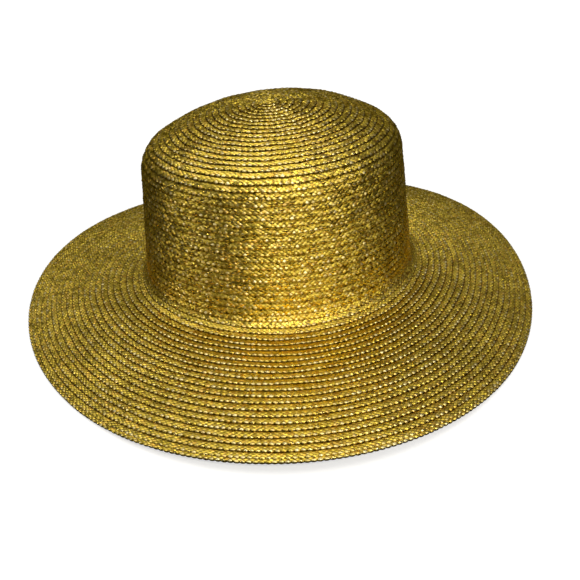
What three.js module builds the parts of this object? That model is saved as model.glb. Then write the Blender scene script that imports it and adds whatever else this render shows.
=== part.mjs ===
// A wide-brimmed sun hat of narrow plaited straw braid, sewn in one flat spiral from the
// crown's tip to the rim. Each turn of braid laps over the next one out, so the outer face
// is a low staircase that winds round the hat, and the inner face is smooth.
// Millimetres, +Z up, the rim resting on the plane z = 0, azimuths counter-clockwise from +X.
import * as THREE from 'three';
import { mergeVertices } from 'three/addons/utils/BufferGeometryUtils.js';

// Driving dimensions
const crown = {
  baseRadius: 91.5, // mean outer radius at the break, for a 57 cm head
  height: 127.4, // break to tip
  sideLean: 5, // degrees that the side leans in
  shoulderRadius: 24.3,
  domeRadius: 136.5,
  shift: { x: 1.5, y: -0.1 }, // the crown's middle from the rim's middle
  tipShift: { x: -2, y: -8.9 }, // the spiral's first turn from the dome's middle
  turns: 41,
  turnEase: -0.04, // part by which the first turns are wider than the mean
};
const brim = {
  rimRadius: 191,
  breakHeight: 19, // outer face at the break above z = 0, mean
  arch: 4.4, // rise of the slope's middle above a straight line
  rimSink: 0.7, // depth that the low waves of the rim settle, which flattens them
  soleWidth: 2.2, // level strip under the rim
  turns: 21,
  turnEase: 0.16, // part by which the first turns are wider than the mean
};
const braid = {
  startAzimuth: 90, // both ends of the braid lie at this azimuth
  stepDepth: 0.6, // drop from one turn's edge to the turn below it
  wall: 2.1, // from a turn's proud edge to the smooth inner face
  seamGap: 0.4, // between crown and brim along the surface
  breakRounding: 2.4, // turns on each side of the break that its curve takes
};
const facets = { around: 40, turnsPerInnerRing: 3 };

// Slow waves of the blocked form: a wave crests at the azimuth named, and every
// 360 / lobes degrees from it.
const crownOval = [
  { lobes: 2, part: 0.094, azimuth: 20.1 },
];
const rimPlan = [
  { lobes: 2, part: 0.0179, azimuth: 96.5 },
  { lobes: 3, part: 0.0176, azimuth: 38.8 },
];
const rimLift = [
  { lobes: 3, part: 3.24, azimuth: 32.9 },
];
const breakRise = [
  { lobes: 1, part: 3.64, azimuth: 150.7 },
  { lobes: 2, part: 3.24, azimuth: 27.7 },
];

const radians = THREE.MathUtils.degToRad;
const clamp = THREE.MathUtils.clamp;

function wave(table, azimuth) {
  let sum = 0;
  for (const row of table) {
    sum += row.part * Math.cos(row.lobes * (azimuth - radians(row.azimuth)));
  }
  return sum;
}

// The crown's meridian: a dome arc, a shoulder arc and a straight side, all tangent
const lean = radians(crown.sideLean);
const domeToShoulder = crown.domeRadius - crown.shoulderRadius;
const domeCentreHeight = crown.height - crown.domeRadius;
const sideReach = crown.baseRadius * Math.cos(lean) - domeCentreHeight * Math.sin(lean);
const domeAngle = Math.asin((sideReach - crown.shoulderRadius) / domeToShoulder) - lean;
const shoulderAngle = Math.PI / 2 - lean - domeAngle;
const domeLength = crown.domeRadius * domeAngle;
const shoulderLength = crown.shoulderRadius * shoulderAngle;
const shoulderCentre = {
  radius: domeToShoulder * Math.sin(domeAngle),
  height: domeCentreHeight + domeToShoulder * Math.cos(domeAngle),
};
const sideTop = {
  radius: shoulderCentre.radius + crown.shoulderRadius * Math.cos(lean),
  height: shoulderCentre.height + crown.shoulderRadius * Math.sin(lean),
};

function domePoint(length, azimuth) {
  const radius = crown.domeRadius * Math.sin(length / crown.domeRadius);
  const oval = 1 + wave(crownOval, azimuth);
  const fade = 1 - length / domeLength;
  const x = radius * oval * Math.cos(azimuth) + crown.tipShift.x * fade;
  const y = radius * oval * Math.sin(azimuth) + crown.tipShift.y * fade;
  const roundRadius = Math.hypot(x, y) / (1 + wave(crownOval, Math.atan2(y, x)));
  const height = domeCentreHeight + Math.sqrt(crown.domeRadius ** 2 - roundRadius ** 2);
  return new THREE.Vector3(x, y, height);
}

// Outer face of the crown, from the tip at share 0 to the break at share 1
function crownPoint(share, azimuth) {
  const sideLength = (sideTop.height - wave(breakRise, azimuth)) / Math.cos(lean);
  const length = share * (domeLength + shoulderLength + sideLength);
  let point;
  if (length < domeLength) {
    point = domePoint(length, azimuth);
  } else {
    const turned = domeAngle + Math.min((length - domeLength) / crown.shoulderRadius, shoulderAngle);
    const down = Math.max(length - domeLength - shoulderLength, 0);
    const onArc = crown.shoulderRadius * Math.sin(turned) + down * Math.sin(lean);
    const radius = (shoulderCentre.radius + onArc) * (1 + wave(crownOval, azimuth));
    const drop = crown.shoulderRadius * Math.cos(turned) - down * Math.cos(lean);
    point = new THREE.Vector3(
      radius * Math.cos(azimuth),
      radius * Math.sin(azimuth),
      shoulderCentre.height + drop,
    );
  }
  return point.add(new THREE.Vector3(crown.shift.x, crown.shift.y, brim.breakHeight));
}

// Lower edge of the rim: three waves whose low parts are settled flat on z = 0
function rimHeight(azimuth) {
  return Math.max(0, rimLift[0].part + wave(rimLift, azimuth) - brim.rimSink);
}

// Outer face of the brim, from the break at share 0 to the rim at share 1
function brimPoint(share, azimuth) {
  const eased = share * (1 + brim.turnEase * (1 - share));
  const radius = brim.rimRadius * (1 + wave(rimPlan, azimuth));
  const rim = new THREE.Vector3(radius * Math.cos(azimuth), radius * Math.sin(azimuth), 0);
  rim.z = rimHeight(azimuth) + braid.wall;
  const point = crownPoint(1, azimuth).lerp(rim, eased);
  point.z += brim.arch * 4 * eased * (1 - eased);
  return point;
}

// Outer face at a turn counted from the tip, with the crown and brim meeting at an angle
function angledPoint(turn, azimuth) {
  if (turn > crown.turns) return brimPoint((turn - crown.turns) / brim.turns, azimuth);
  const share = turn / crown.turns;
  return crownPoint(share * (1 + crown.turnEase * (1 - share)), azimuth);
}

// The same face with that angle rounded by a small curve
function facePoint(turn, azimuth) {
  const fromBreak = (turn - crown.turns) / braid.breakRounding;
  if (Math.abs(fromBreak) >= 1) return angledPoint(turn, azimuth);
  const t = (fromBreak + 1) / 2;
  const above = angledPoint(crown.turns - braid.breakRounding, azimuth);
  const corner = angledPoint(crown.turns, azimuth);
  const below = angledPoint(crown.turns + braid.breakRounding, azimuth);
  const point = above.multiplyScalar((1 - t) ** 2);
  return point.addScaledVector(corner, 2 * t * (1 - t)).addScaledVector(below, t * t);
}

const crownPart = {
  point: (share, azimuth) => facePoint(share * crown.turns, azimuth),
  turns: crown.turns,
};
const brimPart = {
  point: (share, azimuth) => facePoint(crown.turns + share * brim.turns, azimuth),
  turns: brim.turns,
};

// Outward unit normal of a part's outer face, from two short steps on it
function faceNormal(part, turn, azimuth) {
  const step = 0.02;
  const at = (t, a) => part.point(clamp(t, 0, part.turns) / part.turns, a);
  const outward = at(turn + step, azimuth).sub(at(turn - step, azimuth));
  const along = at(turn, azimuth + step).sub(at(turn, azimuth - step));
  const normal = outward.cross(along).normalize();
  return normal.lengthSq() > 0 ? normal : new THREE.Vector3(0, 0, 1);
}

// At the break both parts are cut on the plane that halves the angle between them
function breakDirection(azimuth) {
  const above = faceNormal(crownPart, crown.turns, azimuth);
  const below = faceNormal(brimPart, 0, azimuth);
  const middle = above.clone().add(below).normalize();
  return middle.divideScalar(middle.dot(above));
}

function crownOffset(turn, azimuth) {
  if (turn >= crown.turns) return breakDirection(azimuth);
  return turn <= 0 ? new THREE.Vector3(0, 0, 1) : faceNormal(crownPart, turn, azimuth);
}

function brimOffset(turn, azimuth) {
  if (turn <= 0) return breakDirection(azimuth);
  return turn >= brim.turns ? new THREE.Vector3(0, 0, 1) : faceNormal(brimPart, turn, azimuth);
}

// A point of a part at a turn of the spiral, lowered from the outer face by a depth
function loweredPoint(part, turn, azimuth, depth) {
  const inside = clamp(turn, part.firstTurn, part.lastTurn);
  const point = part.point(inside / part.turns, azimuth);
  const atEnd = turn <= part.firstTurn ? 0 : turn >= part.lastTurn ? part.turns : turn;
  return point.addScaledVector(part.offset(atEnd, azimuth), -depth);
}

// One point on the edge line that ends or starts a turn of braid. Past a part's ends all
// lines run together on its edge, at the depth that the cut turn has there.
function edgePoint(part, turnStart, atEnd, azimuth) {
  const turn = turnStart + (atEnd ? 1 : 0);
  const isTipButton = part.closedTip && turnStart < 0;
  let depth = atEnd || isTipButton ? 0 : braid.stepDepth;
  if (turn <= 0 && part.closedTip) {
    depth = 0;
  } else if (turn <= 0) {
    depth = braid.stepDepth * (1 - (-turnStart - Math.floor(-turnStart)));
  } else if (turn >= part.turns) {
    const shareOfTurn = part.turns - turnStart - Math.ceil(part.turns - turnStart) + 1;
    depth = braid.stepDepth * (1 - shareOfTurn);
  }
  return loweredPoint(part, turn, azimuth, depth);
}

// Columns of points, one per azimuth step, joined into strips of triangles
function stripTriangles(left, right, flip) {
  const out = [];
  for (let i = 0; i + 1 < left.length; i += 1) {
    const quad = [left[i], left[i + 1], right[i + 1], right[i]];
    const order = flip ? [0, 3, 2, 0, 2, 1] : [0, 1, 2, 0, 2, 3];
    for (const corner of order) out.push(quad[corner]);
  }
  return out;
}

function outerColumn(part, column) {
  const azimuth = columnAzimuth(column);
  const turned = column / facets.around;
  const points = [];
  for (let turn = -1; turn < part.turns; turn += 1) {
    points.push(edgePoint(part, turn + turned, false, azimuth));
    points.push(edgePoint(part, turn + turned, true, azimuth));
  }
  return points;
}

function innerColumn(part, column) {
  const azimuth = columnAzimuth(column);
  const rings = Math.round(part.turns / facets.turnsPerInnerRing);
  const points = [];
  for (let ring = 0; ring <= rings; ring += 1) {
    const turn = (part.turns * ring) / rings;
    points.push(loweredPoint(part, turn, azimuth, braid.wall));
  }
  if (part.hasSole) {
    const edge = points[rings];
    const sole = edge.clone();
    const planRadius = Math.hypot(edge.x, edge.y);
    const inward = 1 - brim.soleWidth / planRadius;
    sole.x *= inward;
    sole.y *= inward;
    points.splice(rings, 0, sole);
  }
  return points;
}

function columnAzimuth(column) {
  return radians(braid.startAzimuth + (360 * column) / facets.around);
}

function braidedGeometry(part) {
  const corners = [];
  for (let column = 0; column < facets.around; column += 1) {
    const outer = [outerColumn(part, column), outerColumn(part, column + 1)];
    const inner = [innerColumn(part, column), innerColumn(part, column + 1)];
    corners.push(...stripTriangles(outer[0], outer[1], false));
    corners.push(...stripTriangles(inner[0], inner[1], true));
    const last = [outer[0].at(-1), inner[0].at(-1)];
    corners.push(...stripTriangles(last, [outer[1].at(-1), inner[1].at(-1)], false));
    if (!part.closedTip) {
      const first = [outer[0][0], inner[0][0]];
      corners.push(...stripTriangles(first, [outer[1][0], inner[1][0]], true));
    }
  }
  return closedMesh(corners);
}

// Shared corners become one vertex, and triangles without area are left out
function closedMesh(corners) {
  const raw = new THREE.BufferGeometry().setFromPoints(corners);
  raw.translate(-planCentre.x, -planCentre.y, 0);
  const merged = mergeVertices(raw, 0.004);
  const index = merged.getIndex().array;
  const kept = [];
  for (let i = 0; i < index.length; i += 3) {
    const [a, b, c] = [index[i], index[i + 1], index[i + 2]];
    if (a !== b && b !== c && c !== a) kept.push(a, b, c);
  }
  merged.setIndex(kept);
  merged.computeVertexNormals();
  return merged;
}

// The middle of the rim's box in plan, which is the hat's origin
function rimBoxCentre() {
  const box = new THREE.Box3();
  for (let column = 0; column < facets.around; column += 1) {
    box.expandByPoint(brimPoint(1, columnAzimuth(column)));
  }
  return box.getCenter(new THREE.Vector3());
}
const planCentre = rimBoxCentre();

// Each part ends half the seam's gap from the break
const turnLengthAtBreak = 4;
Object.assign(crownPart, {
  firstTurn: 0,
  lastTurn: crown.turns - braid.seamGap / 2 / turnLengthAtBreak,
  offset: crownOffset,
  closedTip: true,
  hasSole: false,
});
Object.assign(brimPart, {
  firstTurn: braid.seamGap / 2 / turnLengthAtBreak,
  lastTurn: brim.turns,
  offset: brimOffset,
  closedTip: false,
  hasSole: true,
});

const hat = new THREE.Group();
hat.name = 'sun_hat';
const pieces = [
  { name: 'crown', part: crownPart, color: 0x9a7a24 },
  { name: 'brim', part: brimPart, color: 0xa3852c },
];
for (const piece of pieces) {
  const straw = new THREE.MeshStandardMaterial({
    color: piece.color,
    roughness: 0.42,
    metalness: 0.6,
  });
  const mesh = new THREE.Mesh(braidedGeometry(piece.part), straw);
  mesh.name = piece.name;
  hat.add(mesh);
}

export default hat;
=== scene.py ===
# The looks of a sun hat of metallic gold plaited straw braid, on a pale studio floor.
# The braid is one long strip that winds from the crown's tip to the rim, and each turn laps over
# the next one out. Turns are counted from the tip. Shapes are worked out in millimetres, and
# become metres in the shared frame where the strip's points are placed.
import math

import bpy
import numpy as np
from mathutils import Matrix, Vector


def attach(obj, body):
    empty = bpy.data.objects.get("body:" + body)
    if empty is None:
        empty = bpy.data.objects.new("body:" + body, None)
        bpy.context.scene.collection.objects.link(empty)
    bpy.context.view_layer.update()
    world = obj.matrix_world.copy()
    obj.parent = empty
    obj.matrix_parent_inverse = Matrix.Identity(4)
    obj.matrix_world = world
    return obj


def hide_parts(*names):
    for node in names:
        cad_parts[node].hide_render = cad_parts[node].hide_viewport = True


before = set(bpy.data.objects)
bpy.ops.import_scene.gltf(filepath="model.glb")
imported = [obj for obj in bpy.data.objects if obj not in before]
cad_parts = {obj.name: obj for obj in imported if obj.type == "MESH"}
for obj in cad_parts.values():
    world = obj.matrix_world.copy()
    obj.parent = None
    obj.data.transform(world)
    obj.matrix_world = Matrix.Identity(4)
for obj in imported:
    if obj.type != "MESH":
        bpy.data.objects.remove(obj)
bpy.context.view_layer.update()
MM = 0.001             # in metres

# The blocked form, as the solids have it: millimetres and degrees
CROWN = dict(base_radius=91.5, height=127.4, side_lean=5.0, shoulder_radius=24.3,
             dome_radius=136.5, shift=(1.5, -0.1), tip_shift=(-2.0, -8.9), turns=41,
             turn_ease=-0.04)
BRIM = dict(rim_radius=191.0, break_height=19.0, arch=4.4, rim_sink=0.7, turns=21,
            turn_ease=0.16)
WALL = 2.1
START_AZIMUTH = 90.0
CROWN_OVAL = [dict(lobes=2, part=0.094, azimuth=20.1)]
RIM_PLAN = [dict(lobes=2, part=0.0179, azimuth=96.5), dict(lobes=3, part=0.0176, azimuth=38.8)]
RIM_LIFT = [dict(lobes=3, part=3.24, azimuth=32.9)]
BREAK_RISE = [dict(lobes=1, part=3.64, azimuth=150.7), dict(lobes=2, part=3.24, azimuth=27.7)]
RIM_CORNERS = 40       # corners that the solids have round the rim
TURNS = CROWN["turns"] + BRIM["turns"]

# The braid
TOOTH = 3.6            # spacing of the scallops along its edge
STEPS_PER_TOOTH = 4
LAP = 0.28             # share of a turn that is tucked under the turn before
STEP_DEPTH = 0.6       # drop from a turn's proud edge to the next turn
BREAK_ROUNDING = 2.4   # turns on each side of the break that its curve takes
SEED = 11

# Pieces of the strip, by the turns between which each one runs
PIECES = [
    dict(name="crown_tip_braid", node="crown", first=-0.75, last=22.5),
    dict(name="crown_side_braid", node="crown", first=22.5, last=32.0),
    dict(name="crown_base_braid", node="crown", first=32.0, last=40.0),
    dict(name="brim_inner_braid", node="brim", first=40.0, last=49.0),
    dict(name="brim_middle_braid", node="brim", first=49.0, last=56.0),
    dict(name="brim_rim_braid", node="brim", first=56.0, last=62.0),
]


def wave(table, azimuth):
    """Sum of a table's lobes at an azimuth in radians."""
    return sum(r["part"] * np.cos(r["lobes"] * (azimuth - math.radians(r["azimuth"]))) for r in table)


# The crown's meridian: a dome arc, a shoulder arc and a straight side, all tangent
LEAN = math.radians(CROWN["side_lean"])
DOME = CROWN["dome_radius"]
SHOULDER = CROWN["shoulder_radius"]
DOME_CENTRE = CROWN["height"] - DOME
SIDE_REACH = CROWN["base_radius"] * math.cos(LEAN) - DOME_CENTRE * math.sin(LEAN)
DOME_ANGLE = math.asin((SIDE_REACH - SHOULDER) / (DOME - SHOULDER)) - LEAN
SHOULDER_ANGLE = math.pi / 2 - LEAN - DOME_ANGLE
DOME_LENGTH = DOME * DOME_ANGLE
SHOULDER_LENGTH = SHOULDER * SHOULDER_ANGLE
SHOULDER_CENTRE = ((DOME - SHOULDER) * math.sin(DOME_ANGLE),
                   DOME_CENTRE + (DOME - SHOULDER) * math.cos(DOME_ANGLE))
SIDE_TOP = SHOULDER_CENTRE[1] + SHOULDER * math.sin(LEAN)


def crown_point(share, azimuth):
    """Outer face of the crown in millimetres, from the tip at share 0 to the break at 1."""
    side = (SIDE_TOP - wave(BREAK_RISE, azimuth)) / math.cos(LEAN)
    length = share * (DOME_LENGTH + SHOULDER_LENGTH + side)
    on_dome = np.minimum(length, DOME_LENGTH)
    oval = 1 + wave(CROWN_OVAL, azimuth)
    fade = 1 - on_dome / DOME_LENGTH
    dome_radius = DOME * np.sin(on_dome / DOME)
    x = dome_radius * oval * np.cos(azimuth) + CROWN["tip_shift"][0] * fade
    y = dome_radius * oval * np.sin(azimuth) + CROWN["tip_shift"][1] * fade
    round_radius = np.hypot(x, y) / (1 + wave(CROWN_OVAL, np.arctan2(y, x)))
    z = DOME_CENTRE + np.sqrt(DOME ** 2 - round_radius ** 2)
    turned = DOME_ANGLE + np.clip((length - DOME_LENGTH) / SHOULDER, 0, SHOULDER_ANGLE)
    down = np.maximum(length - DOME_LENGTH - SHOULDER_LENGTH, 0)
    radius = (SHOULDER_CENTRE[0] + SHOULDER * np.sin(turned) + down * math.sin(LEAN)) * oval
    past = length > DOME_LENGTH
    x = np.where(past, radius * np.cos(azimuth), x) + CROWN["shift"][0]
    y = np.where(past, radius * np.sin(azimuth), y) + CROWN["shift"][1]
    below = SHOULDER_CENTRE[1] + SHOULDER * np.cos(turned) - down * math.cos(LEAN)
    z = np.where(past, below, z) + BRIM["break_height"]
    return np.stack([x, y, z], -1)


def brim_point(share, azimuth):
    """Outer face of the brim in millimetres, from the break at share 0 to the rim at 1."""
    eased = share * (1 + BRIM["turn_ease"] * (1 - share))
    radius = BRIM["rim_radius"] * (1 + wave(RIM_PLAN, azimuth))
    lift = np.maximum(0, RIM_LIFT[0]["part"] + wave(RIM_LIFT, azimuth) - BRIM["rim_sink"])
    rim = np.stack([radius * np.cos(azimuth), radius * np.sin(azimuth), lift + WALL], -1)
    start = crown_point(np.ones_like(azimuth), azimuth)
    point = start + (rim - start) * eased[..., None]
    point[..., 2] += BRIM["arch"] * 4 * eased * (1 - eased)
    return point


def sharp_point(turn, azimuth):
    """The outer face at a turn of the spiral, with a sharp break between crown and brim."""
    break_turn = CROWN["turns"]
    share = np.clip(turn, 0, break_turn) / break_turn
    above = crown_point(share * (1 + CROWN["turn_ease"] * (1 - share)), azimuth)
    below = brim_point(np.clip(turn - break_turn, 0, BRIM["turns"]) / BRIM["turns"], azimuth)
    return np.where((turn <= break_turn)[..., None], above, below)


def rounded_point(turn, azimuth):
    """The outer face at a turn of the spiral, with the break rounded by a small curve."""
    break_turn = float(CROWN["turns"])
    point = sharp_point(turn, azimuth)
    near = np.abs(turn - break_turn) < BREAK_ROUNDING
    if near.any():
        a = azimuth[near]
        t = ((turn[near] - break_turn) / BREAK_ROUNDING + 1)[:, None] / 2
        ends = [break_turn + side * BREAK_ROUNDING for side in (-1, 0, 1)]
        above, corner, below = [sharp_point(np.full_like(a, end), a) for end in ends]
        point[near] = (1 - t) ** 2 * above + 2 * t * (1 - t) * corner + t ** 2 * below
    return point


def rim_box_centre():
    """Middle of the box round the rim, which the frame's origin lies under."""
    azimuth = np.radians(START_AZIMUTH + 360 * np.arange(RIM_CORNERS) / RIM_CORNERS)
    rim = brim_point(np.ones_like(azimuth), azimuth)
    return (rim.min(0) + rim.max(0)) / 2


PLAN_CENTRE = rim_box_centre() * (1, 1, 0)


class Ripple:
    """A smooth uneven field over the hat, from seeded waves that close round it."""

    def __init__(self, rng, waves, around, outward):
        self.lobes = rng.integers(around[0], around[1], waves)
        self.rows = rng.uniform(outward[0], outward[1], waves) * rng.choice([-1, 1], waves)
        self.phase = rng.uniform(0, 2 * math.pi, waves)
        self.scale = math.sqrt(2 / waves)

    def at(self, turn, azimuth):
        total = np.zeros_like(turn)
        for lobes, rows, phase in zip(self.lobes, self.rows, self.phase):
            total += np.sin(lobes * azimuth + rows * turn + phase)
        return total * self.scale


field_rng = np.random.default_rng(SEED)
ROW_WANDER = Ripple(field_rng, waves=14, around=(2, 26), outward=(0.2, 2.2))
FACE_WAVE = Ripple(field_rng, waves=12, around=(3, 18), outward=(0.1, 0.9))
WANDER = 0.035         # turns that the rows stray from an even spiral
WANDER_FADE = 3        # turns from each end of the braid in which the straying grows
FACE_WAVE_DEPTH = 0.12
FACE_WAVE_FADE = 4
NORMAL_STEP = 0.03     # turns and radians to the points that give the face's direction
TINY = 1e-9


def grown_from_ends(turn, run):
    """0 at both ends of the braid, and 1 from a run of turns onwards."""
    return np.clip(np.minimum(turn, TURNS - turn) / run, 0, 1)


def face_point(turn, azimuth):
    """The outer face, with rows that stray a little from an even spiral."""
    strayed = turn + WANDER * grown_from_ends(turn, WANDER_FADE) * ROW_WANDER.at(turn, azimuth)
    return rounded_point(strayed, azimuth)


def lowered(turn, azimuth, depth):
    """A point of the braid at a depth under the outer face, in metres in the shared frame."""
    point = face_point(turn, azimuth)
    further = face_point(turn + NORMAL_STEP, azimuth)
    nearer = face_point(np.maximum(turn - NORMAL_STEP, 0), azimuth)
    along = rounded_point(turn, azimuth + NORMAL_STEP) - rounded_point(turn, azimuth - NORMAL_STEP)
    normal = np.cross(further - nearer, along)
    size = np.linalg.norm(normal, axis=-1, keepdims=True)
    normal = np.where(size > TINY, normal / np.maximum(size, TINY), (0, 0, 1))
    waved = FACE_WAVE_DEPTH * grown_from_ends(turn, FACE_WAVE_FADE) * FACE_WAVE.at(turn, azimuth)
    return (point - normal * (depth + waved)[..., None] - PLAN_CENTRE) * MM


TABLE_STEP = 0.004     # turns between two entries of the table of lengths
MEASURED_AT = 0.8      # share of a turn outward where the teeth are evenly spaced
SMALLEST_RING = 0.15   # turns from the tip that the measured edge stays clear of


def spiral_table():
    """Turns in small even steps, and the length of the braid up to each."""
    turns = np.arange(PIECES[0]["first"], TURNS + TINY, TABLE_STEP)
    azimuth = np.radians(START_AZIMUTH) + 2 * math.pi * turns
    edge = rounded_point(np.clip(turns + MEASURED_AT, SMALLEST_RING, TURNS), azimuth)
    lengths = np.concatenate([[0], np.cumsum(np.linalg.norm(np.diff(edge, axis=0), axis=1))])
    return turns, lengths


# The strip's section, from its tucked inner edge over the top to its outer edge and back
# under: share of a turn outward, depth below the sloping top, how much it is plaited, and
# how much it takes of the rim's extra thickness
SECTION = [
    dict(out=-0.28, depth=0.38, plait=0.0, rim=0.0),
    dict(out=0.12, depth=0.16, plait=0.3, rim=0.0),
    dict(out=0.27, depth=0.04, plait=1.0, rim=0.0),
    dict(out=0.40, depth=0.0, plait=1.0, rim=0.0),
    dict(out=0.53, depth=0.0, plait=1.0, rim=0.0),
    dict(out=0.66, depth=0.02, plait=1.0, rim=0.0),
    dict(out=0.79, depth=-0.03, plait=1.6, rim=0.0),
    dict(out=0.92, depth=0.10, plait=1.7, rim=0.0),
    dict(out=1.0, depth=0.40, plait=0.0, rim=0.0),
    dict(out=0.95, depth=0.74, plait=0.0, rim=1.0),
    dict(out=0.40, depth=1.25, plait=-0.5, rim=0.55),
    dict(out=-0.26, depth=1.35, plait=0.0, rim=0.0),
]
OUT, DEPTH, PLAIT, AT_RIM = (np.array([row[key] for row in SECTION])
                             for key in ("out", "depth", "plait", "rim"))
STRAND_ROW = 0.26      # turns between two rows of crossing strands
EDGE_ROW = 0.79        # where the row of scallops lies
PLAIT_DEPTH = 0.27
MEAN_HEIGHT = 0.5      # plait height at which the face is left where it is
EDGE_BOTTOM = 0.80     # depth of the outer edge's lower corner before it is thickened
THICKENING_RUN = 0.02  # turns in which the extra thickness grows

# The scallops, in turns: they move the section's outer part in and out
SCALLOP = 0.17
SCALLOP_START = 0.7
SCALLOP_RUN = 0.3
SCALLOP_MEAN = 0.6     # about the mean of a scallop's curve, so that the edge stays in place
SCALLOP_UNEVENNESS = 0.3

# Each tooth has its own height and reach, out of a long seeded list
TOOTH_KINDS = 12000
TOOTHED_FROM = 0.6     # share of a turn outward from which a tooth's own height counts
tooth_rng = np.random.default_rng(SEED + 1)
TOOTH_HEIGHTS = tooth_rng.uniform(0.55, 1.3, TOOTH_KINDS)
TOOTH_REACHES = tooth_rng.normal(0, 0.35, TOOTH_KINDS)


def plait_height(tooth, out):
    """Height of the crossing strands, 0 in the valleys and 1 on the middle of a strand."""
    row = (out - EDGE_ROW) / (2 * STRAND_ROW)
    rising = np.sin(math.pi * (tooth + row + 0.5))
    falling = np.sin(math.pi * (tooth - row + 0.5))
    return np.sqrt(np.abs(rising * falling))


def rim_thickening(turn):
    """Extra depth under the last turn, which has no other turn below it."""
    past = turn - (TURNS - 1)
    lacking = WALL - EDGE_BOTTOM - STEP_DEPTH * np.clip(past, 0, 1)
    return np.clip(past / THICKENING_RUN, 0, 1) * lacking


def cross_sections(piece, table):
    """Turn and tooth number of each cross-section of a piece. It ends on the next one's first."""
    turns, lengths = table
    ends = np.interp([piece["first"], piece["last"]], turns, lengths)
    first, last = ends / (TOOTH / STEPS_PER_TOOTH)
    steps = np.arange(math.ceil(first), math.floor(last) + 1)
    if piece["last"] < TURNS:
        steps = np.append(steps, steps[-1] + 1)
    turn = np.interp(steps * TOOTH / STEPS_PER_TOOTH, lengths, turns)
    return turn, steps / STEPS_PER_TOOTH


def strip_points(turn, tooth):
    """The strip's points in metres: a row for each cross-section, a column for each SECTION row."""
    kind = np.round(tooth).astype(int) % TOOTH_KINDS
    ring = np.minimum(turn, TURNS - 1)
    inner = np.maximum(ring - LAP, 0)
    outer = ring + 1
    share = (OUT + LAP) / (1 + LAP)
    on_edge = np.clip((OUT - SCALLOP_START) / SCALLOP_RUN, 0, 1)
    peak = np.abs(np.cos(math.pi * tooth))
    scallop = SCALLOP * (peak - SCALLOP_MEAN + SCALLOP_UNEVENNESS * TOOTH_REACHES[kind] * peak)
    out = inner[:, None] + (outer - inner)[:, None] * share + scallop[:, None] * on_edge
    azimuth = np.radians(START_AZIMUTH) + 2 * math.pi * turn[:, None]
    azimuth = np.broadcast_to(azimuth, out.shape)
    height = plait_height(tooth[:, None], OUT) * PLAIT
    height = height * np.where(OUT > TOOTHED_FROM, TOOTH_HEIGHTS[kind][:, None], 1.0)
    depth = STEP_DEPTH * (turn[:, None] + 1 - out) + DEPTH - PLAIT_DEPTH * (height - MEAN_HEIGHT)
    depth = depth + rim_thickening(turn)[:, None] * AT_RIM
    width = np.clip((outer - inner) / (1 + LAP), 0, 1)[:, None]
    depth = depth * width + (1 - width) * DEPTH
    return lowered(np.clip(out, 0, TURNS), azimuth, depth)


def strip_object(piece, table):
    """One closed length of the strip, with UV u as the tooth number and v as the share across."""
    turn, tooth = cross_sections(piece, table)
    points = strip_points(turn, tooth)
    rows, columns = points.shape[:2]
    i, j = np.meshgrid(np.arange(rows - 1), np.arange(columns), indexing="ij")
    k = (j + 1) % columns
    quads = [i * columns + j, i * columns + k, (i + 1) * columns + k, (i + 1) * columns + j]
    quads = np.stack(quads, -1).reshape(-1, 4)
    caps = [np.arange(columns)[::-1], (rows - 1) * columns + np.arange(columns)]
    corners = np.concatenate([quads.reshape(-1), *caps])
    starts = np.append(np.arange(len(quads)) * 4, len(quads) * 4 + np.array([0, columns]))
    mesh = bpy.data.meshes.new(piece["name"])
    mesh.vertices.add(rows * columns)
    mesh.vertices.foreach_set("co", points.reshape(-1).astype(np.float32))
    mesh.loops.add(len(corners))
    mesh.loops.foreach_set("vertex_index", corners.astype(np.int32))
    mesh.polygons.add(len(starts))
    mesh.polygons.foreach_set("loop_start", starts.astype(np.int32))
    mesh.update(calc_edges=True)
    mesh.polygons.foreach_set("use_smooth", np.ones(len(starts), bool))
    on_caps = np.zeros(2 * columns)
    u = np.concatenate([tooth[quads // columns].reshape(-1), on_caps])
    v = np.concatenate([OUT[quads % columns].reshape(-1), on_caps])
    layer = mesh.uv_layers.new(name="braid")
    layer.data.foreach_set("uv", np.stack([u, v], -1).reshape(-1).astype(np.float32))
    mesh.validate()
    obj = bpy.data.objects.new(piece["name"], mesh)
    bpy.context.scene.collection.objects.link(obj)
    return obj


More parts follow.
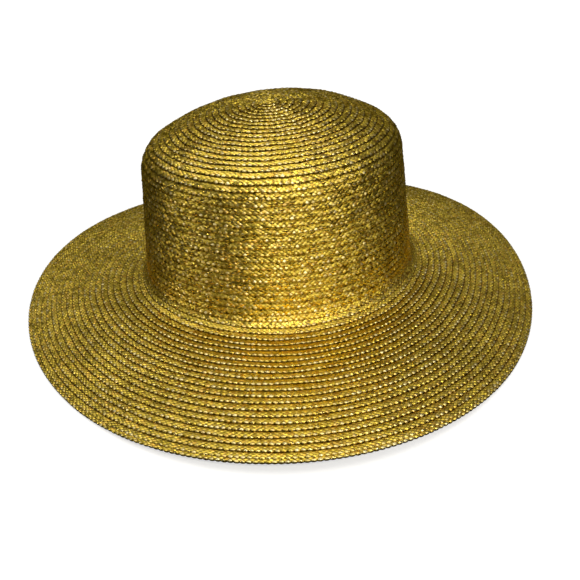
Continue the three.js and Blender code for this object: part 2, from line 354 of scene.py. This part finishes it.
class Nodes:
    """Short helpers to write a node tree, which is emptied first."""

    def __init__(self, owner):
        self.tree = owner.node_tree
        self.tree.nodes.clear()

    def add(self, kind, inputs=None, **settings):
        node = self.tree.nodes.new(kind)
        for key, value in settings.items():
            setattr(node, key, value)
        for key, value in (inputs or {}).items():
            if isinstance(value, bpy.types.NodeSocket):
                self.tree.links.new(value, node.inputs[key])
            else:
                node.inputs[key].default_value = value
        return node

    def math(self, operation, a, b=0.0):
        return self.add("ShaderNodeMath", {0: a, 1: b}, operation=operation).outputs[0]

    def vector_math(self, operation, a, key, b):
        return self.add("ShaderNodeVectorMath", {0: a, key: b}, operation=operation).outputs[0]

    def noise(self, place, scale, detail, output="Fac", dimensions="3D"):
        inputs = {"Vector": place, "Scale": scale, "Detail": detail}
        node = self.add("ShaderNodeTexNoise", inputs, noise_dimensions=dimensions)
        return node.outputs[output]

    def channels(self, colour):
        return self.add("ShaderNodeSeparateColor", {0: colour}).outputs

    def step(self, value, low, high):
        """0 at low and 1 at high, smooth between; low may be the larger."""
        inputs = {"Value": value, "From Min": low, "From Max": high}
        return self.add("ShaderNodeMapRange", inputs, interpolation_type="SMOOTHSTEP").outputs[0]

    def ramp(self, value, stops):
        node = self.add("ShaderNodeValToRGB", {"Fac": value})
        band = node.color_ramp
        while len(band.elements) < len(stops):
            band.elements.new(0.5)
        for element, (position, colour) in zip(band.elements, stops):
            element.position = position
            element.color = (*colour, 1)
        return node.outputs["Color"]

    def mix(self, share, a, b):
        """Colour a at share 0 and colour b at 1."""
        node = self.add("ShaderNodeMix", {0: share}, data_type="RGBA")
        for index, value in ((6, a), (7, b)):
            if isinstance(value, bpy.types.NodeSocket):
                self.tree.links.new(value, node.inputs[index])
            else:
                node.inputs[index].default_value = (*value, 1)
        return node.outputs[2]


# Painted highlight colour, for the glints on the teeth and the pale streaks along the fibres
GLINT_GOLD = (1.0, 0.86, 0.42)
GOLD = (0.82, 0.60, 0.08)
OLIVE_GOLD = (0.66, 0.49, 0.05)
COPPER_GOLD = (0.76, 0.47, 0.07)
# Painted shade colour, for the plait's valleys, the gaps between teeth, the dark fibre streaks and the
# grooves between turns
SHADE_GOLD = (0.20, 0.127, 0.008)
STRAND_TINTS = [(0.0, OLIVE_GOLD), (0.4, GOLD), (0.75, GOLD), (0.95, COPPER_GOLD)]
GRAZING_TINT = (0.84, 0.65, 0.18, 1)

# The straw of each part: how wide its painted groove shade is, how strong its streaks of painted
# highlight and painted shade are, and how much its strands lean this way and that
STRAWS = {
    "crown": dict(groove_end=0.13, streaks=0.5, unevenness=0.34),
    "brim": dict(groove_end=0.11, streaks=0.26, unevenness=0.2),
}

# The straw's pattern in the braid's own coordinates: teeth along it and turns across it. A
# pair in brackets is where a soft step is 0 and where it is 1
JOLT = dict(scale=1.3, detail=1.0, along=0.2, across=0.12)
FIBRES = dict(along=3.2, by_tooth=0.7, by_strand=40.0, scale=1.0, detail=2.0)
PATCHES = dict(scale=38.0, detail=2.0, edge=(0.5, 0.75), strength=0.3)
CLUMPS = dict(scale=0.33, detail=2.0, edge=(0.38, 0.68), least=0.5, rise=0.75)
TOOTH_SHAPE = dict(narrowing=2.1, foot=0.94, least_height=0.2, more_height=0.36)
# Painted highlight on each tooth: a pale triangle above the row's edge
TOOTH_GLEAM = dict(roof=(-0.04, 0.06), sides=(0.05, 0.35), strength=0.95)
# Painted shade in the gaps between the teeth
TOOTH_GAP = dict(sides=(0.4, 0.1), across=(0.66, 0.84), strength=0.8)
# Streaks along the fibres: the pale ones are painted highlight, the dark ones painted shade
STREAK = dict(pale=(0.5, 0.66), dark=(0.5, 0.34), across=(0.95, 0.6), least_dark=0.1)
# Which strands get painted highlights
GLEAMING_STRANDS = (-0.1, 0.9)  # of each strand's random number
# Painted shade in the valleys between the crossing strands
VALLEY = dict(edge=(0.45, 0.05), strength=0.45)
# Painted shade in the groove between two turns and under each turn's outer edge
GROOVE = dict(run=0.12, under_edge=(0.93, 0.98), strength=1.25, lost_in_clumps=0.6)
ROUGHNESS = (0.24, 0.46)
BUMP = dict(fibres=0.6, strength=0.45, distance=0.0003)

# The upright side, in metres up, and the share of a turn by which its painted groove shade is wider
UPRIGHT = dict(top=0.128, top_fade=0.012, foot=0.022, foot_fade=0.008, groove=0.2)


def strayed(n, value, chance, reach):
    """A coordinate moved by a random number, by half its reach at most."""
    return n.math("ADD", value, n.math("MULTIPLY", n.math("SUBTRACT", chance, 0.5), reach))


def crossing_strands(n, tooth, across):
    """The plait's strands: their height, the way along each, and random numbers for each."""
    row = n.math("DIVIDE", n.math("SUBTRACT", across, EDGE_ROW), 2 * STRAND_ROW)
    rising = n.math("ADD", n.math("ADD", tooth, row), 0.5)
    falling = n.math("ADD", n.math("SUBTRACT", tooth, row), 0.5)
    rising_cell = n.math("FLOOR", rising)
    falling_cell = n.math("FLOOR", falling)
    cell = n.add("ShaderNodeCombineXYZ", {0: rising_cell, 1: falling_cell}).outputs[0]
    chance = n.add("ShaderNodeTexWhiteNoise", {"Vector": cell}, noise_dimensions="2D").outputs["Color"]
    humps = n.math("MULTIPLY", n.math("SINE", n.math("MULTIPLY", rising, math.pi)),
                   n.math("SINE", n.math("MULTIPLY", falling, math.pi)))
    height = n.math("SQRT", n.math("ABSOLUTE", humps))
    side = n.math("ABSOLUTE", n.math("MODULO", n.math("SUBTRACT", rising_cell, falling_cell), 2.0))
    way = n.add("ShaderNodeMix", {0: side, 2: rising, 3: falling}, data_type="FLOAT").outputs[0]
    return height, way, chance


def fibre_noise(n, way, tooth, luck):
    """Fine fibres that run along each strand and differ from strand to strand."""
    place = n.add("ShaderNodeCombineXYZ", {0: n.math("MULTIPLY", way, FIBRES["along"]),
                                           1: n.math("MULTIPLY", tooth, FIBRES["by_tooth"]),
                                           2: n.math("MULTIPLY", luck, FIBRES["by_strand"])})
    return n.noise(place.outputs[0], FIBRES["scale"], FIBRES["detail"])


def clump_noise(n, uv):
    """Wide patches in which the painted highlights are stronger and the painted groove shade is weaker.
    """
    noise = n.noise(uv, CLUMPS["scale"], CLUMPS["detail"], dimensions="2D")
    gleaming = n.math("MULTIPLY", n.step(noise, *CLUMPS["edge"]), CLUMPS["rise"])
    return n.math("ADD", CLUMPS["least"], gleaming)


def tooth_reach(n, tooth):
    """1 on the middle of a tooth, falling to 0 near the gap beside it."""
    beside = n.math("SUBTRACT", n.math("FRACT", n.math("ADD", tooth, 0.5)), 0.5)
    fall = n.math("MULTIPLY", n.math("ABSOLUTE", beside), TOOTH_SHAPE["narrowing"])
    return n.math("SUBTRACT", 1.0, fall)


def painted_tooth_glint(n, reach, across, luck):
    """1 on the painted highlight of each tooth, a pale triangle whose height is its own."""
    height = n.math("MULTIPLY", luck, TOOTH_SHAPE["more_height"])
    height = n.math("ADD", TOOTH_SHAPE["least_height"], height)
    roof = n.math("SUBTRACT", TOOTH_SHAPE["foot"], n.math("MULTIPLY", reach, height))
    under_roof = n.step(n.math("SUBTRACT", across, roof), *TOOTH_GLEAM["roof"])
    return n.math("MULTIPLY", under_roof, n.step(reach, *TOOTH_GLEAM["sides"]))


def groove_share(n, across, place, groove_end, clumps):
    """How much painted shade the groove between two turns and the outer edge's underside get. The
    painted shade is wider on the crown's upright side.
    """
    up = n.add("ShaderNodeSeparateXYZ", {0: place}).outputs[2]
    below_top = n.step(up, UPRIGHT["top"], UPRIGHT["top"] - UPRIGHT["top_fade"])
    above_foot = n.step(up, UPRIGHT["foot"], UPRIGHT["foot"] + UPRIGHT["foot_fade"])
    upright = n.math("MULTIPLY", below_top, above_foot)
    from_groove = n.math("SUBTRACT", across, n.math("MULTIPLY", upright, UPRIGHT["groove"]))
    tucked = n.step(from_groove, groove_end, groove_end - GROOVE["run"])
    groove = n.math("MAXIMUM", tucked, n.step(across, *GROOVE["under_edge"]))
    lost = n.math("MULTIPLY", clumps, GROOVE["lost_in_clumps"])
    return n.math("MULTIPLY", groove, n.math("SUBTRACT", GROOVE["strength"], lost))


def leaned_normal(n, fibres, strand, chance, unevenness):
    """The bump of fibres and strands, with each strand leaned its own way."""
    height = n.math("ADD", n.math("MULTIPLY", fibres, BUMP["fibres"]), strand)
    bump = n.add("ShaderNodeBump", {"Height": height, "Strength": BUMP["strength"],
                                    "Distance": BUMP["distance"]}).outputs[0]
    lean = n.vector_math("SUBTRACT", chance, 1, (0.5, 0.5, 0.5))
    lean = n.vector_math("SCALE", lean, "Scale", unevenness)
    leaned = n.vector_math("ADD", bump, 1, lean)
    return n.add("ShaderNodeVectorMath", {0: leaned}, operation="NORMALIZE").outputs[0]


def straw_material(name, groove_end, streaks, unevenness):
    """Metallic straw whose strands, painted highlights and painted shade follow the braid's own
    coordinates.
    """
    material = bpy.data.materials.new(name)
    material.use_nodes = True
    n = Nodes(material)
    uv = n.add("ShaderNodeUVMap", uv_map="braid").outputs["UV"]
    place = n.add("ShaderNodeTexCoord").outputs["Object"]
    tooth, across = n.add("ShaderNodeSeparateXYZ", {0: uv}).outputs[:2]
    jolt = n.channels(n.noise(uv, JOLT["scale"], JOLT["detail"], output="Color", dimensions="2D"))
    tooth_here = strayed(n, tooth, jolt[0], JOLT["along"])
    across_here = strayed(n, across, jolt[1], JOLT["across"])
    strand, way, chance = crossing_strands(n, tooth_here, across_here)
    luck = n.channels(chance)
    fibres = fibre_noise(n, way, tooth, luck[0])
    clumps = clump_noise(n, uv)
    reach = tooth_reach(n, tooth_here)

    patches = n.step(n.noise(place, PATCHES["scale"], PATCHES["detail"]), *PATCHES["edge"])
    tint = n.ramp(luck[0], STRAND_TINTS)
    tint = n.mix(n.math("MULTIPLY", patches, PATCHES["strength"]), tint, COPPER_GOLD)

    # Painted highlights: a pale triangle on each tooth and pale streaks along the fibres, stronger in
    # the clumps
    triangle = n.math("MULTIPLY", painted_tooth_glint(n, reach, across_here, luck[2]), TOOTH_GLEAM["strength"])
    strokes = n.math("MULTIPLY", n.step(fibres, *STREAK["pale"]), n.step(across, *STREAK["across"]))
    gleam = n.math("MAXIMUM", triangle, n.math("MULTIPLY", strokes, streaks))
    gleam = n.math("MULTIPLY", n.math("MULTIPLY", gleam, clumps), n.step(luck[1], *GLEAMING_STRANDS))
    tint = n.mix(gleam, tint, GLINT_GOLD)
    # Painted shade: dark streaks along the fibres
    dark = n.math("MULTIPLY", n.step(fibres, *STREAK["dark"]), STREAK["least_dark"] + streaks)
    tint = n.mix(dark, tint, SHADE_GOLD)

    # Painted shade in the gaps between teeth and in the plait's valleys
    gap = n.math("MULTIPLY", n.step(reach, *TOOTH_GAP["sides"]), n.step(across, *TOOTH_GAP["across"]))
    valley = n.math("MULTIPLY", n.step(strand, *VALLEY["edge"]), VALLEY["strength"])
    valley = n.math("MAXIMUM", valley, n.math("MULTIPLY", gap, TOOTH_GAP["strength"]))
    tint = n.mix(valley, tint, SHADE_GOLD)
    # Painted shade in the grooves between turns
    tint = n.mix(groove_share(n, across, place, groove_end, clumps), tint, SHADE_GOLD)

    rough = n.add("ShaderNodeMapRange", {"Value": luck[2], "To Min": ROUGHNESS[0],
                                         "To Max": ROUGHNESS[1]}).outputs[0]
    normal = leaned_normal(n, fibres, strand, chance, unevenness)
    surface = n.add("ShaderNodeBsdfPrincipled", {"Base Color": tint, "Roughness": rough,
                                                 "Metallic": 1.0, "Normal": normal,
                                                 "Specular Tint": GRAZING_TINT})
    n.add("ShaderNodeOutputMaterial", {"Surface": surface.outputs[0]})
    return material


def build_braid():
    table = spiral_table()
    materials = {node: straw_material(node + "_straw", **straw) for node, straw in STRAWS.items()}
    for piece in PIECES:
        obj = strip_object(piece, table)
        obj.data.materials.append(materials[piece["node"]])
        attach(obj, "root")
        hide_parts(piece["node"])


# The camera of the photograph: its frame is 580 pixels square
FRAME_PIXELS = 580
ELEVATION = math.radians(26.21)
ROLL = math.radians(3.93)
DISTANCE = 560.0       # millimetres from the point aimed at
FOCAL_PIXELS = 769.9
AIM_HEIGHT = 62.1      # of the point on the hat's axis that the next pixel shows
AIM_PIXEL = (275.36, 211.28)
SENSOR = 36.0
NEAREST, FURTHEST = 0.01, 50  # metres that the camera sees between


def add_camera():
    back = Vector((0, -math.cos(ELEVATION), math.sin(ELEVATION)))
    aim = Vector((0, 0, AIM_HEIGHT)) - Vector(PLAN_CENTRE)
    right = Vector((1, 0, 0))
    up = right.cross(-back)
    level = Matrix((right, up, back)).transposed()
    rolled = level @ Matrix.Rotation(-ROLL, 3, "Z")
    centre = FRAME_PIXELS / 2
    aside = (AIM_PIXEL[0] - centre) / FOCAL_PIXELS
    above = (centre - AIM_PIXEL[1]) / FOCAL_PIXELS
    ray = Vector((aside, above, -1)).normalized()
    swing = Vector((0, 0, -1)).rotation_difference(ray)
    turned = rolled @ swing.to_matrix().inverted()
    data = bpy.data.cameras.new("camera")
    data.sensor_width = SENSOR
    data.lens = FOCAL_PIXELS / FRAME_PIXELS * SENSOR
    data.clip_start = NEAREST
    data.clip_end = FURTHEST
    camera = bpy.data.objects.new("camera", data)
    camera.matrix_world = Matrix.Translation((aim + back * DISTANCE) * MM) @ turned.to_4x4()
    bpy.context.scene.collection.objects.link(camera)
    bpy.context.scene.camera = camera


# The floor. It glows a little, so that it looks white
FLOOR_HALF = 30.0      # metres from its middle to each side
FLOOR_GLOW = 0.55
FLOOR_TINTS = [(0.3, (0.60, 0.60, 0.60)), (0.7, (0.62, 0.62, 0.62))]
FLOOR_GRAIN = dict(scale=400.0, detail=3.0)
FLOOR_ROUGHNESS = 0.9


def floor_material():
    material = bpy.data.materials.new("studio_floor")
    material.use_nodes = True
    n = Nodes(material)
    grain = n.add("ShaderNodeTexNoise", {"Scale": FLOOR_GRAIN["scale"], "Detail": FLOOR_GRAIN["detail"]})
    tint = n.ramp(grain.outputs["Fac"], FLOOR_TINTS)
    surface = n.add("ShaderNodeBsdfPrincipled", {"Base Color": tint, "Roughness": FLOOR_ROUGHNESS,
                                                 "Emission Color": (1.0, 1.0, 1.0, 1.0),
                                                 "Emission Strength": FLOOR_GLOW})
    n.add("ShaderNodeOutputMaterial", {"Surface": surface.outputs[0]})
    return material


def add_floor():
    mesh = bpy.data.meshes.new("studio_floor")
    corners = [(x * FLOOR_HALF, y * FLOOR_HALF, 0) for x, y in ((-1, -1), (1, -1), (1, 1), (-1, 1))]
    mesh.from_pydata(corners, [], [(0, 1, 2, 3)])
    floor = bpy.data.objects.new("studio_floor", mesh)
    mesh.materials.append(floor_material())
    floor.visible_glossy = False
    bpy.context.scene.collection.objects.link(floor)


# Soft lights, all far away: the direction that each one comes from and how wide it looks,
# in degrees
PALE_LIGHT = (1.0, 0.98, 0.94)
SOFT_LIGHT = (1.0, 0.97, 0.92)
WARM_LIGHT = (1.0, 0.95, 0.86)
LAMPS = [
    dict(name="over", elevation=86.0, azimuth=90.0, width=42.0, strength=0.95, colour=PALE_LIGHT),
    dict(name="back", elevation=60.0, azimuth=132.0, width=22.0, strength=0.2, colour=PALE_LIGHT),
    dict(name="front", elevation=20.0, azimuth=-70.0, width=40.0, strength=0.95, colour=SOFT_LIGHT),
    dict(name="left", elevation=14.0, azimuth=-150.0, width=8.0, strength=0.4, colour=WARM_LIGHT),
    dict(name="right", elevation=16.0, azimuth=-30.0, width=14.0, strength=0.3, colour=WARM_LIGHT),
    dict(name="spark", elevation=48.0, azimuth=-62.0, width=9.0, strength=0.8, colour=WARM_LIGHT),
]

# The sky's glow, by how far up the direction points: 1 is the zenith and 0 the horizon
SKY = [(-0.5, 0.07), (-0.2, 0.06), (0.1, 0.07), (0.42, 0.12), (0.7, 0.30), (0.85, 0.38), (1.0, 0.38)]


def add_lamp(lamp):
    data = bpy.data.lights.new(lamp["name"], "SUN")
    data.angle = math.radians(lamp["width"])
    data.energy = lamp["strength"]
    data.color = lamp["colour"]
    light = bpy.data.objects.new(lamp["name"], data)
    up, side = math.radians(lamp["elevation"]), math.radians(lamp["azimuth"])
    towards = Vector((math.cos(up) * math.cos(side), math.cos(up) * math.sin(side), math.sin(up)))
    light.rotation_euler = towards.to_track_quat("Z", "Y").to_euler()
    light.location = towards
    bpy.context.scene.collection.objects.link(light)


def add_sky():
    world = bpy.data.worlds.new("studio")
    world.use_nodes = True
    n = Nodes(world)
    direction = n.add("ShaderNodeTexCoord").outputs["Generated"]
    up = n.add("ShaderNodeSeparateXYZ", {0: direction}).outputs[2]
    climb = n.add("ShaderNodeMapRange", {"Value": up, "From Min": -1.0, "From Max": 1.0}).outputs[0]
    glow = n.ramp(climb, [((level + 1) / 2, (grey, grey, grey)) for level, grey in SKY])
    background = n.add("ShaderNodeBackground", {"Strength": glow})
    n.add("ShaderNodeOutputWorld", {"Surface": background.outputs[0]})
    bpy.context.scene.world = world


build_braid()
add_camera()
add_floor()
for lamp in LAMPS:
    add_lamp(lamp)
add_sky()
bpy.context.scene.view_settings.view_transform = "Standard"
